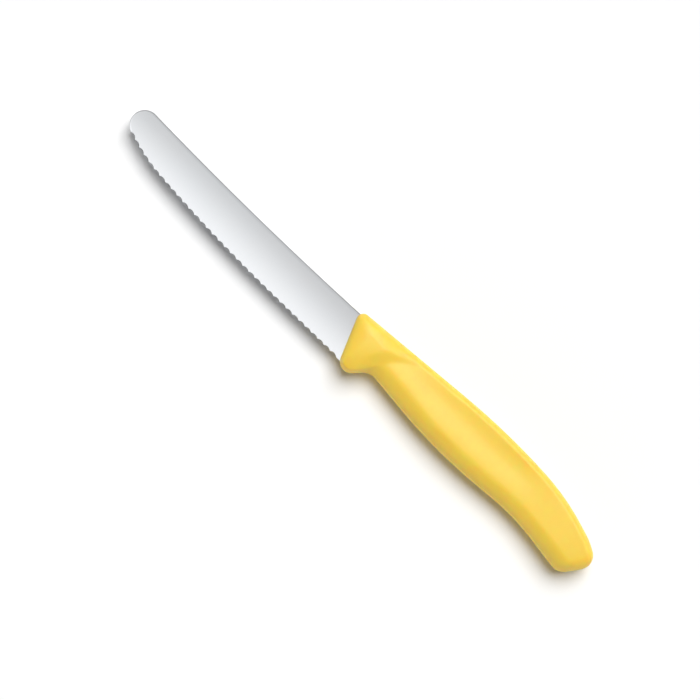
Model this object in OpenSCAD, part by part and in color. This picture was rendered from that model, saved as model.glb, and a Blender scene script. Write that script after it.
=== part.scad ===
// Tomato knife: a round-tipped blade with a scalloped edge, and a moulded handle that holds its tang.
// The knife lies on its right side: tip towards -X, spine towards +Y, left face up.
// Sizes are millimetres, measured from the heel datum, where the handle's front meets the edge line.

/* [Blade] */
// Length from the heel datum to the tip
blade_len = 110; // [90:1:140]
// Height at the waist, where the spine dips lowest
waist_h = 15.9; // [14.5:0.1:19]
// Distance of the waist ahead of the heel datum
waist_x = 49; // [30:1:65]
// Radius of the spine's long hollow curve
spine_r = 1440; // [900:10:3000]
// Radius of the round tip
tip_r = 5.25; // [4:0.05:6]
// Length of the straight part of the edge
straight_len = 32; // [15:1:50]
// Length of the nose, where the edge turns up more quickly to the tip
nose_len = 20.4; // [16:0.1:24]
// Rise of the edge at the start of the nose
nose_rise = 2.7; // [1.5:0.1:3.2]
// Thickness at the spine, which is also that of the tang
spine_t = 1.3; // [1:0.05:2]
// Thickness at the edge line, before the scallops are ground
edge_t = 0.5; // [0.35:0.05:0.7]
// Bare strip between the ground flats and the handle
ricasso = 0.3; // [0.2:0.1:2]

/* [Scallops] */
// Distance from one cusp to the next along the edge
scallop_pitch = 3.015; // [2:0.005:5]
// Depth of a scallop on the left face, from cusp to valley
scallop_depth = 0.65; // [0.4:0.05:1]
// Angle between the grinding wheel's path and the blade
scallop_angle = 16; // [12:1:25]
// Plain stretch of edge next to the handle
scallop_start = 1.685; // [1:0.005:6]
// Depth that is taken off each cusp, which leaves a tiny land
cusp_land = 0.05; // [0.03:0.01:0.1]

/* [Tang] */
// Length of the tang behind the heel datum
tang_len = 68; // [50:1:80]
// Height of the tang
tang_h = 9.5; // [7:0.1:10.5]
// Height of the tang's lower side above the edge line
tang_low = 5.2; // [4.8:0.1:6]
// Depth of the full-height heel inside the handle
heel_depth = 3.2; // [2:0.1:4]
// Radius of the lock holes
lock_r = 2.25; // [1.5:0.05:3]
// Distance between lock holes
lock_pitch = 20; // [12:1:22]
// Distance from the heel datum to the first lock hole
lock_start = 15; // [10:1:18]
// Number of lock holes
lock_count = 3; // [1:1:3]
// Shrink gap between the plastic and the steel
mould_gap = 0.02; // [0.01:0.01:0.05]

/* [Handle outline] */
// Lean of the handle's front face from upright, in degrees
front_lean = 21.7; // [10:0.1:30]
// Cover of plastic above the spine at the front
front_cover = 1.24; // [0.8:0.02:2]
// Corner radius at the top of the front
front_r = 2.4; // [1:0.1:3]
// Drop of the finger guard's corner below the edge line, before rounding
guard_drop = 4.85; // [4:0.05:6]
// Radius of the finger guard
guard_r = 4.05; // [3:0.05:4.6]
// Distance from the heel datum to the finger notch
notch_x = 10.4; // [9:0.1:14]
// Height of the finger notch above the edge line
notch_h = 4.35; // [3:0.05:4.6]
// Radius of the finger notch
notch_r = 5.7; // [3:0.1:7]
// Distance from the heel datum to the palm, where the underside is lowest
palm_x = 45.3; // [40:0.1:50]
// Drop of the palm's corner below the notch
palm_drop = 3.85; // [2:0.05:5]
// Radius of the underside at the palm
palm_r = 200; // [120:5:220]
// Distance from the heel datum to the hollow for the little finger
hollow_x = 81.2; // [76:0.1:88]
// Rise of the hollow above the palm's corner
hollow_rise = 2.5; // [1:0.1:4]
// Radius of the hollow
hollow_r = 93; // [60:1:100]
// Distance from the heel datum to the butt's lower corner
butt_x = 105.2; // [103:0.1:120]
// Drop of that corner below the hollow
butt_drop = 3.7; // [2:0.05:5]
// Radius of the butt's lower corner
butt_low_r = 5.3; // [3:0.1:6]
// Length of the butt's end face between its two corners, before rounding
butt_face = 13.95; // [13:0.05:16]
// Lean of the end face from upright, in degrees
butt_lean = 36; // [20:0.5:38]
// Radius of the butt's upper corner
butt_top_r = 4.9; // [3:0.1:5]
// Height of the crest's corner above the edge line
crest_h = 22.5; // [21:0.1:26]
// Distance from the heel datum to the crest's corner
crest_x = 58.2; // [54:0.1:62]
// Radius of the crest
crest_r = 270; // [150:5:280]
// Distance from the crest's corner to the rear slope's corner
rear_run = 30.4; // [28:0.1:32]
// Fall from the crest's corner to the rear slope's corner
rear_fall = 1.9; // [1:0.1:3]
// Radius of the rear slope
rear_r = 88; // [50:1:90]
// Distance from the rear slope's corner to the last corner before the butt
last_run = 16.8; // [15:0.1:18]
// Fall from the rear slope's corner to that last corner
last_fall = 5.4; // [4.5:0.1:6]
// Radius of the last corner
last_r = 23; // [10:1:25]

/* [Handle section] */
// Thickness across the raised front
front_w = 12.4; // [11:0.1:15]
// Thickness at the palm
palm_w = 11.6; // [10:0.1:15]
// Thickness at the little finger's hollow
hollow_w = 10.6; // [9:0.1:14]
// Thickness at the butt
butt_w = 12.6; // [11:0.1:15]
// Step from the raised front down to the grip, on each side
front_step = 1.6; // [0.2:0.05:1.9]
// Distance from the heel datum to the crease at the edge of the raised front
crease_x = 6.3; // [3:0.1:8]
// Height above the edge line at which the crease starts to sweep back
crease_h = 6.4; // [3:0.1:8]
// How far the crease sweeps back for each square millimetre of height
crease_sweep = 0.055; // [0.04:0.001:0.09]
// Width ahead of the crease over which the step starts
step_lead = 0.6; // [0.3:0.1:2]
// Width behind the crease over which the step runs out
step_run = 5.4; // [3:0.1:8]
// Height above the edge line at which the step starts to fade
step_fade = 13.3; // [10:0.1:16]
// Height above the edge line at which the step has gone
step_gone = 20; // [17:0.1:24]
// Distance from the heel datum at which the front's section starts to turn into the grip's
front_end = 6; // [2:0.1:9]
// Distance from the heel datum at which the grip's section starts
grip_start = 14; // [10:0.1:20]
// Fall of the front's side from its crown to the top
front_fall_top = 0.4; // [0.2:0.05:1.5]
// Fall of the front's side from its crown to the guard
front_fall_low = 2.25; // [0.5:0.05:2.5]
// Height of the front's crown above the guard
front_crown = 9.1; // [7:0.1:12]
// Fall of the grip's side from its crown to the back, at the front of the handle
back_fall = 1.9; // [0.5:0.05:2.4]
// Rise of the side from its crown to the back, at the butt
butt_rise = 0.5; // [0:0.05:1]
// Depth of the long shallow scoop in the grip's sides
scoop = 0.8; // [0.1:0.05:1]
// Distance from the heel datum to the scoop's deepest place
scoop_x = 43; // [30:0.5:60]
// Distance from the heel datum at which the scoop starts to run out
scoop_fade = 66; // [62:0.5:75]
// Distance from the heel datum to the scoop's end
scoop_end = 88; // [80:0.5:100]
// Depth of the rounding along the back
back_round = 2.2; // [1.5:0.1:4]
// Squareness of that rounding, which is a quarter-ellipse at 2
back_square = 2.3; // [2:0.05:3]
// Depth of the rounding along the guard
guard_round = 1.5; // [1.2:0.1:3]
// Depth of the rounding along the underside, behind the notch
notch_round = 6.1; // [5:0.1:7.5]
// Depth of the rounding along the underside, from the palm to the butt
under_round = 5.7; // [4:0.1:6.5]
// Squareness of the rounding along the underside
under_square = 1.44; // [1.3:0.02:2.2]
// Width of the rounded strip down the front face, above the guard
front_strip = 6.5; // [3:0.1:7.5]
// Width of that strip at the guard
guard_strip = 2.3; // [1.5:0.1:3]
// Height above the guard at which that strip has its full width
strip_rise = 12; // [8:0.5:15]
// Depth of that strip across the thickness
front_strip_t = 4.6; // [1:0.1:5]
// Width of the rounded strip round the butt
butt_strip = 6.5; // [3:0.1:7.5]
// Depth of that strip across the thickness
butt_strip_t = 5; // [2:0.1:5.3]
// Distance ahead of the butt at which the handle has its full thickness again
swell_run = 12; // [8:0.5:20]

/* [Hidden] */

// Height at which a section's place along the handle is measured
mid_h = 10;
// Places where the leaning front sections come upright, and where the rear ones start to lean
front_fan_end = 22;
rear_fan_start = 82;
// Most degrees in one step of an arc, and most millimetres between outline points
arc_step = 6;
outline_step = 2;
// Steps of a section: along the back's rounding, the side and the underside's rounding
back_steps = 5;
side_steps = 9;
under_steps = 7;
// Most of a section's height that the back's rounding takes up, and the underside's
back_share = 0.35;
under_share = 0.6;
// Angle in degrees that the scoop's sine runs through from the crown to the back
scoop_span = 164;
// Steps along the handle: rounded front strip, body and rounded butt
front_steps = 9;
body_steps = 66;
butt_steps = 9;
// Spare length where one shape has to pass right through another
spare = 3;

function unit(v) = v / norm(v);
function clamp(t) = min(max(t, 0), 1);
function ease(x, from, to) = let (t = clamp((x - from) / (to - from))) t * t * (3 - 2 * t);
function mix(a, b, t) = a + (b - a) * t;
function angle_of(v) = atan2(v.y, v.x);

// Points along an arc round a centre, from a start angle through a turn in degrees
function arc(centre, r, start, turn) =
    let (n = max(2, ceil(abs(turn) / arc_step), ceil(abs(turn) * PI / 180 * r / outline_step)))
    [for (i = [0:n]) centre + r * [cos(start + turn * i / n), sin(start + turn * i / n)]];

// Arc that rounds the corner b of the path a, b, c
function corner(a, b, c, r) =
    let (u = unit(a - b), w = unit(c - b), half = acos(u * w) / 2,
         side = cross(unit(b - a), w) > 0 ? 1 : -1,
         centre = b + unit(u + w) * r / sin(half),
         start = angle_of(b + u * r / tan(half) - centre))
    arc(centre, r, start, side * (180 - 2 * half));

// The same path with extra points, so that no two lie further apart than outline_step
function filled(path) = [
    for (i = [0:len(path) - 2])
        let (n = max(1, ceil(norm(path[i + 1] - path[i]) / outline_step)))
        for (j = [0:n - 1]) mix(path[i], path[i + 1], j / n),
    path[len(path) - 1]
];

// Blade: the arcs of its outline touch each other, so each centre follows from its neighbours.
spine_centre = [-waist_x, waist_h + spine_r];
function spine_h(x) = spine_centre.y - sqrt(pow(spine_r, 2) - pow(x - spine_centre.x, 2));
tip_x = tip_r - blade_len;
tip_centre = [tip_x, spine_centre.y - sqrt(pow(spine_r + tip_r, 2) - pow(tip_x - spine_centre.x, 2))];
belly_run = blade_len - nose_len - straight_len;
belly_r = (pow(belly_run, 2) + pow(nose_rise, 2)) / (2 * nose_rise);
belly_centre = [-straight_len, belly_r];
belly_turn = asin(belly_run / belly_r);
nose_start = [nose_len - blade_len, nose_rise];
nose_in = unit(belly_centre - nose_start);
tip_to_nose = nose_start - tip_centre;
nose_r = (pow(tip_r, 2) - tip_to_nose * tip_to_nose) / (2 * (tip_to_nose * nose_in + tip_r));
nose_centre = nose_start + nose_r * nose_in;
nose_turn = -90 - angle_of(nose_centre - tip_centre) + 180 - belly_turn;
belly_arc = belly_r * belly_turn * PI / 180;
nose_arc = nose_r * nose_turn * PI / 180;
edge_len = straight_len + belly_arc + nose_arc;
top_h = tip_centre.y + tip_r;
lean = tan(front_lean);
heel_h = spine_h(-lean * waist_h);

// Turn of the edge, in degrees, and its place, at a distance from the heel datum along the edge
function edge_turn(s) =
    s < straight_len ? 0
    : s < straight_len + belly_arc ? (s - straight_len) / belly_r * 180 / PI
    : belly_turn + (s - straight_len - belly_arc) / nose_r * 180 / PI;
function edge_point(s) =
    let (down = [-sin(edge_turn(s)), -cos(edge_turn(s))])
    s < straight_len ? [-s, 0]
    : s < straight_len + belly_arc ? belly_centre + belly_r * down
    : nose_centre + nose_r * down;

// Half the blade's thickness at a height above the edge line
function half_t(y) = mix(edge_t, spine_t, y / top_h) / 2;

scallop_count = floor((edge_len - scallop_start) / scallop_pitch);
groove_sag = (scallop_depth + cusp_land) * sin(scallop_angle);
groove_r = (pow(scallop_pitch / 2, 2) + pow(groove_sag, 2)) / (2 * groove_sag);

// Outline of the ground part, from the bare strip at the handle round the edge, tip and spine
function ground_outline() =
    let (back = -lean * heel_h - ricasso)
    concat(
        [[back, spine_h(back)], [-ricasso, 0]],
        arc(belly_centre, belly_r, -90, -belly_turn),
        arc(nose_centre, nose_r, -90 - belly_turn, -nose_turn),
        arc(tip_centre, tip_r, -90 - belly_turn - nose_turn,
            angle_of(spine_centre - tip_centre) - 270 + belly_turn + nose_turn),
        arc(spine_centre, spine_r, angle_of(tip_centre - spine_centre),
            angle_of([back, spine_h(back)] - spine_centre) - angle_of(tip_centre - spine_centre))
    );

module ground_flats() {
    intersection() {
        translate([0, 0, -spine_t]) linear_extrude(2 * spine_t) polygon(ground_outline());
        translate([-blade_len - spare, 0, 0]) rotate([90, 0, 90]) linear_extrude(blade_len + 2 * spare)
            polygon([[-spare, -half_t(-spare)], [top_h + spare, -half_t(top_h + spare)],
                     [top_h + spare, half_t(top_h + spare)], [-spare, half_t(-spare)]]);
    }
}

// One groove of the grinding wheel. It rises from the left face at the edge to the right face above it.
module scallop(s) {
    turn = edge_turn(s);
    foot = edge_point(s);
    valley_y = scallop_depth - groove_r * sin(scallop_angle);
    valley_z = half_t(foot.y + scallop_depth * cos(turn)) - groove_r * cos(scallop_angle);
    translate(foot) rotate([0, 0, -turn])
        translate([0, valley_y, valley_z])
            rotate([-90 - scallop_angle, 0, 0])
                translate([0, 0, -spare]) cylinder(r = groove_r, h = 3 * spare, $fn = 96);
}

// Outline of the unground steel at the heel and in the handle, grown by a gap on every side
module stock_outline(gap) {
    back = -lean * heel_h - ricasso;
    tang_top = tang_low + tang_h;
    tang_mid = tang_low + tang_h / 2;
    difference() {
        union() {
            polygon([
                [-ricasso + lean * gap, -gap],
                [heel_depth + gap, -gap],
                [heel_depth + gap - lean * tang_low, tang_low - gap],
                [tang_len - tang_h / 2, tang_low - gap],
                [tang_len - tang_h / 2, tang_top + gap],
                [heel_depth + gap - lean * tang_top, tang_top + gap],
                [heel_depth + gap - lean * heel_h, spine_h(heel_depth - lean * heel_h) + gap],
                [back - lean * gap, spine_h(back) + gap]
            ]);
            translate([tang_len - tang_h / 2, tang_mid]) circle(r = tang_h / 2 + gap, $fn = 72);
        }
        for (i = [0:lock_count - 1])
            translate([lock_start + i * lock_pitch, tang_mid]) circle(r = lock_r - gap, $fn = 48);
    }
}

module stock(gap) {
    translate([0, 0, -spine_t / 2 - gap]) linear_extrude(spine_t + 2 * gap) stock_outline(gap);
}

module blade() {
    color([0.80, 0.81, 0.82]) place() {
        difference() {
            ground_flats();
            for (i = [0:scallop_count - 1]) scallop(scallop_start + (i + 0.5) * scallop_pitch);
        }
        stock(0);
    }
}

// Handle: the corners of its side outline, each rounded by its radius
front_top = [-lean * (heel_h + front_cover), heel_h + front_cover];
guard = [lean * guard_drop, -guard_drop];
notch = [notch_x, notch_h];
palm = [palm_x, notch_h - palm_drop];
hollow = [hollow_x, palm.y + hollow_rise];
butt_low = [butt_x, hollow.y - butt_drop];
butt_top = butt_low + butt_face * [sin(butt_lean), cos(butt_lean)];
crest = [crest_x, crest_h];
rear = crest + [rear_run, -rear_fall];
last = rear + [last_run, -last_fall];

under_rail = filled(concat(
    corner(front_top, guard, notch, guard_r), corner(guard, notch, palm, notch_r),
    corner(notch, palm, hollow, palm_r), corner(palm, hollow, butt_low, hollow_r),
    corner(hollow, butt_low, butt_top, butt_low_r)));
back_rail = filled(concat(
    corner(guard, front_top, crest, front_r), corner(front_top, crest, rear, crest_r),
    corner(crest, rear, last, rear_r), corner(rear, last, butt_top, last_r),
    corner(last, butt_top, butt_low, butt_top_r)));

// Sections lean with the front face at one end and with the butt at the other, and turn upright between.
// A section's station is where it crosses the height mid_h.
first_station = -lean * mid_h;
last_station = butt_low.x + tan(butt_lean) * (mid_h - butt_low.y);
function section_lean(s) =
    s < front_fan_end ? -lean * (front_fan_end - s) / (front_fan_end - first_station)
    : s > rear_fan_start ? tan(butt_lean) * (s - rear_fan_start) / (last_station - rear_fan_start)
    : 0;
front_pivot = [front_fan_end, mid_h - (front_fan_end - first_station) / lean];
rear_pivot = [rear_fan_start, mid_h - (last_station - rear_fan_start) / tan(butt_lean)];
function through(pivot, p) = pivot.x + (p.x - pivot.x) * (mid_h - pivot.y) / (p.y - pivot.y);
function station(p) =
    p.x < front_fan_end ? through(front_pivot, p)
    : p.x > rear_fan_start ? through(rear_pivot, p)
    : p.x;
under_table = [for (p = under_rail) [station(p), p.y]];
back_table = [for (p = back_rail) [station(p), p.y]];

// Shape of the sections along the handle
function to_grip(s) = ease(s, front_end, grip_start);
function half_w(s) =
    mix(front_w / 2 - front_step, palm_w / 2, ease(s, front_end, palm_x))
    + (hollow_w - palm_w) / 2 * ease(s, palm_x, hollow_x)
    + (butt_w - hollow_w) / 2 * ease(s, hollow_x, last_station - swell_run);
function under_depth(s) =
    mix(guard_round, mix(notch_round, under_round, ease(s, grip_start, palm_x)), to_grip(s));
function crown_h(s, low) = low + mix(front_crown, under_depth(s), to_grip(s));
function tilt_at(s) = to_grip(s) * mix(back_fall, -butt_rise, s / last_station);
function scoop_at(s) = scoop * ease(s, 0, scoop_x) * (1 - ease(s, scoop_fade, scoop_end));

// How far the side has fallen from its fullest, above or below the crown.
// The scoop ends a little short of the back.
function fall(s, y, low, high) =
    let (c = crown_h(s, low), up = clamp((y - c) / (high - c)), down = clamp((c - y) / (c - low)))
    (1 - to_grip(s)) * (front_fall_top * pow(up, 2) + front_fall_low * pow(down, 2))
    + tilt_at(s) * (1 - cos(90 * up)) + scoop_at(s) * pow(sin(scoop_span * up), 2);

// Height of the raised front above the grip: whole ahead of the crease, and running out behind it
function step_at(x, y) =
    let (h = max(y - crease_h, 0), slope = 2 * crease_sweep * h,
         behind = (x - crease_x - crease_sweep * h * h) / sqrt(1 + slope * slope))
    front_step * (1 - ease(y, step_fade, step_gone)) * (1 - ease(behind, -step_lead, step_run));

// Rounding from 0 at the outline to 1 at a full depth inside it
function round_in(d, square) = sqrt(1 - pow(1 - clamp(d), square));
function strip_at(s, y, low) =
    let (width = mix(guard_strip, front_strip, ease(y, low, low + strip_rise)),
         from_front = (s - first_station) / width, from_butt = (last_station - s) / butt_strip)
    (1 - front_strip_t / (front_w / 2) * (1 - round_in(from_front, 2)))
    * (1 - butt_strip_t / (butt_w / 2) * (1 - round_in(from_butt, 2)));

function side_z(s, x, y, low, high) =
    (half_w(s) + step_at(x, y) - fall(s, y, low, high)) * strip_at(s, y, low)
    * round_in((high - y) / back_round, back_square) * round_in((y - low) / under_depth(s), under_square);

// Heights of the points down one side of a section, closer together where the rounding is steep
function side_heights(s, low, high) =
    let (top = high - min(back_round, (high - low) * back_share),
         bottom = low + min(under_depth(s), (high - low) * under_share))
    concat(
        [for (i = [0:back_steps - 1]) high - (high - top) * (1 - cos(90 * i / back_steps))],
        [for (i = [0:side_steps - 1]) mix(top, bottom, i / side_steps)],
        [for (i = [under_steps:-1:0]) low + (bottom - low) * (1 - cos(90 * i / under_steps))]
    );

function section(s) =
    let (low = lookup(s, under_table), high = lookup(s, back_table),
         left = [for (y = side_heights(s, low, high))
             let (x = s + section_lean(s) * (y - mid_h)) [x, y, side_z(s, x, y, low, high)]],
         n = len(left))
    concat(left, [for (i = [n - 2:-1:1]) [left[i].x, left[i].y, -left[i].z]]);

body_from = first_station + guard_strip;
body_to = last_station - butt_strip;
stations = concat(
    [for (i = [0:front_steps - 1]) first_station + guard_strip * (1 - cos(90 * i / front_steps))],
    [for (i = [0:body_steps - 1]) mix(body_from, body_to, i / body_steps)],
    [for (i = [butt_steps:-1:0]) last_station - butt_strip * (1 - cos(90 * i / butt_steps))]
);
sections = [for (s = stations) section(s)];
skin_points = [for (ring = sections) for (p = ring) p];

module skin() {
    around = len(sections[0]);
    rings = len(sections);
    polyhedron(
        points = skin_points,
        faces = concat(
            [[for (j = [0:around - 1]) j]],
            [for (i = [0:rings - 2]) for (j = [0:around - 1])
                let (a = i * around + j, b = i * around + (j + 1) % around, c = a + around, d = b + around)
                for (f = [[a, c, b], [b, c, d]]) f],
            [[for (j = [around - 1:-1:0]) (rings - 1) * around + j]]
        )
    );
}

module handle() {
    color([0.98, 0.83, 0.36]) place() difference() {
        skin();
        stock(mould_gap);
    }
}

// The frame's origin is under the middle of the knife, on the surface that it lies on.
skin_x = [for (p = skin_points) p.x];
skin_y = [for (p = skin_points) p.y];
skin_z = [for (p = skin_points) p.z];
module place() {
    translate([(blade_len - max(skin_x)) / 2, -(min(skin_y) + max(skin_y)) / 2, max(skin_z)]) children();
}

blade();
handle();
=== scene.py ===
"""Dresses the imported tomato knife: a satin ground blade in a yellow moulded handle, lying on its side.

The file is laid out as an add-on and run as a script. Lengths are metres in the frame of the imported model:
tip towards -X, spine towards +Y, left face up, floor at Z = 0. Shapes are worked out in the knife's own axes,
which start at the heel datum, where the handle's front meets the edge line, halfway through the thickness.
"""

import math

import bmesh
import bpy
import numpy as np
from bpy.props import FloatProperty, FloatVectorProperty, IntProperty, PointerProperty
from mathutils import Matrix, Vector


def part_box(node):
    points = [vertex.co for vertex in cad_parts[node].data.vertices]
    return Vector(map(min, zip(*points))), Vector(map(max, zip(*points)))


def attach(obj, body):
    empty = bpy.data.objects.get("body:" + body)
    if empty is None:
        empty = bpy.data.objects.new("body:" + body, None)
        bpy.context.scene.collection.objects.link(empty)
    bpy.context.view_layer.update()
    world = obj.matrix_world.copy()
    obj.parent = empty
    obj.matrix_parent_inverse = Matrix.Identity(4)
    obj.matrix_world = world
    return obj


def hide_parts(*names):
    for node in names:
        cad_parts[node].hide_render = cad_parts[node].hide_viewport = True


bl_info = {
    "name": "Tomato knife",
    "version": (1, 0, 0),
    "blender": (4, 5, 0),
    "location": "View3D > Sidebar > Knife",
    "description": "Builds the looks of a tomato knife round its packed frame",
    "category": "Add Mesh",
}

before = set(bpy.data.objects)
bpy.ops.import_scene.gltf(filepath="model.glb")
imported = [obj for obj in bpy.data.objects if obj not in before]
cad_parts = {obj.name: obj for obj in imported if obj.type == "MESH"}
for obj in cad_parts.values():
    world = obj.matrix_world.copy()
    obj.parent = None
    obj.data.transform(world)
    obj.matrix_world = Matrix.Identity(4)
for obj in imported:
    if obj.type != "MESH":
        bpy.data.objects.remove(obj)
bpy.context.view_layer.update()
BLADE_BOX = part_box("blade")
HANDLE_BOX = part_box("handle")

MM = 0.001
# Points closer than this are one
WELD = 1e-7
# Faces that meet at more than these angles show an edge
BLADE_CREASE = math.radians(12)
HANDLE_CREASE = math.radians(40)
# The part of its range in which nearly all of a noise lies
NOISE_LOW, NOISE_HIGH = 0.3, 0.7
# Sizes along X, Y and Z of the soft clouds of colour
STEEL_CLOUDS = (30 * MM, 14 * MM, 14 * MM)
PLASTIC_CLOUDS = (14 * MM, 14 * MM, 14 * MM)
# How much the grain varies the plastic's roughness
GRAIN_ROUGH = 0.1
# How far red, green and blue light spread inside the plastic, as shares of the glow depth
GLOW_SHARES = (1.0, 0.3, 0.1)


def length(default, name, words):
    """A size in millimetres, as a Blender length."""
    return FloatProperty(name=name, description=words, default=default * MM, unit="LENGTH", precision=5)


def share(default, name, words):
    """A number without a unit."""
    return FloatProperty(name=name, description=words, default=default, precision=4)


def tilt(default, name, words):
    """An angle in degrees, as a Blender angle."""
    return FloatProperty(
        name=name, description=words, default=math.radians(default), subtype="ANGLE"
    )


def colour(default, name, words):
    """A linear colour given by the eight-bit values that it shows as."""
    return FloatVectorProperty(
        name=name, description=words, default=linear(default), subtype="COLOR", size=3, min=0, max=1
    )


def linear(rgb):
    """Linear light of an eight-bit display colour: a straight foot, then a power of 2.4."""
    parts = [c / 255 for c in rgb]
    return tuple(c / 12.92 if c <= 0.04045 else ((c + 0.055) / 1.055) ** 2.4 for c in parts)


class KnifeBladeSizes(bpy.types.PropertyGroup):
    """Sizes of the blade."""

    blade_len: length(110, "Length", "From the heel datum to the tip")
    waist_h: length(15.9, "Waist height", "Height at the waist, where the spine dips lowest")
    waist_x: length(49, "Waist place", "Distance of the waist ahead of the heel datum")
    spine_r: length(1440, "Spine radius", "Radius of the spine's long hollow curve")
    tip_r: length(5.25, "Tip radius", "Radius of the round tip")
    straight_len: length(32, "Straight edge", "Length of the straight part of the edge")
    nose_len: length(20.4, "Nose length", "Length of the part where the edge turns up to the tip")
    nose_rise: length(2.7, "Nose rise", "Rise of the edge at the start of the nose")
    spine_t: length(1.3, "Spine thickness", "Thickness at the spine")
    edge_t: length(0.5, "Edge thickness", "Thickness at the edge line, before the scallops are ground")
    crown: length(0.16, "Crown", "Rise of the ground flats midway between edge and spine")
    spine_ease: length(0.28, "Spine ease", "Rounding along the borders of the spine")
    tip_ease: length(0.2, "Tip ease", "Rounding round the plain end of the edge")
    run_out: length(0.6, "Run-out", "Length past the last cusp in which its groove runs out")
    pitch: length(3.015, "Scallop pitch", "Distance from one cusp to the next along the edge")
    depth: length(0.65, "Scallop depth", "Depth of a scallop on the left face")
    land: length(0.05, "Cusp land", "Depth that is taken off each cusp")
    wheel_angle: tilt(16, "Wheel angle", "Angle between the grinding wheel's path and the blade")
    plain_start: length(1.685, "Plain stretch", "Plain stretch of edge next to the handle")
    samples: IntProperty(name="Columns", description="Columns of mesh in each scallop", default=14)


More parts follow.
